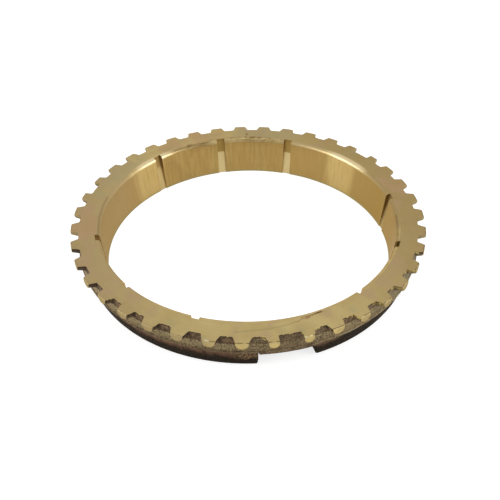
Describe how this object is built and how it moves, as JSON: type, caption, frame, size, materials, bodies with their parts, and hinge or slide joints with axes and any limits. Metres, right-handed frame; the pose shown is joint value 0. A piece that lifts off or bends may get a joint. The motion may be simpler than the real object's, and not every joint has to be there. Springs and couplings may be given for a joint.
{
  "type": "synchronizer ring",
  "caption": "Brass synchronizer ring with blocker teeth and wide gaps round its rim, a tapered friction bore cut by oil grooves, and key slots in the lip below the shoulder.",
  "frame": {"origin": "on the ring's axis, in the plane of the lip's foot that the ring rests on", "axes": "+Z along the ring's axis, from the lip to the toothed face; one key slot and the wide gap above it are centred on -Y"},
  "size_m": [0.11, 0.1099, 0.0128],
  "materials": {
    "brass": "turned satin faces, dull as-forged brown-grey wall and lip"
  },
  "bodies": {
    "root": {"synchro_ring": "brass"}
  },
  "joints": []
}
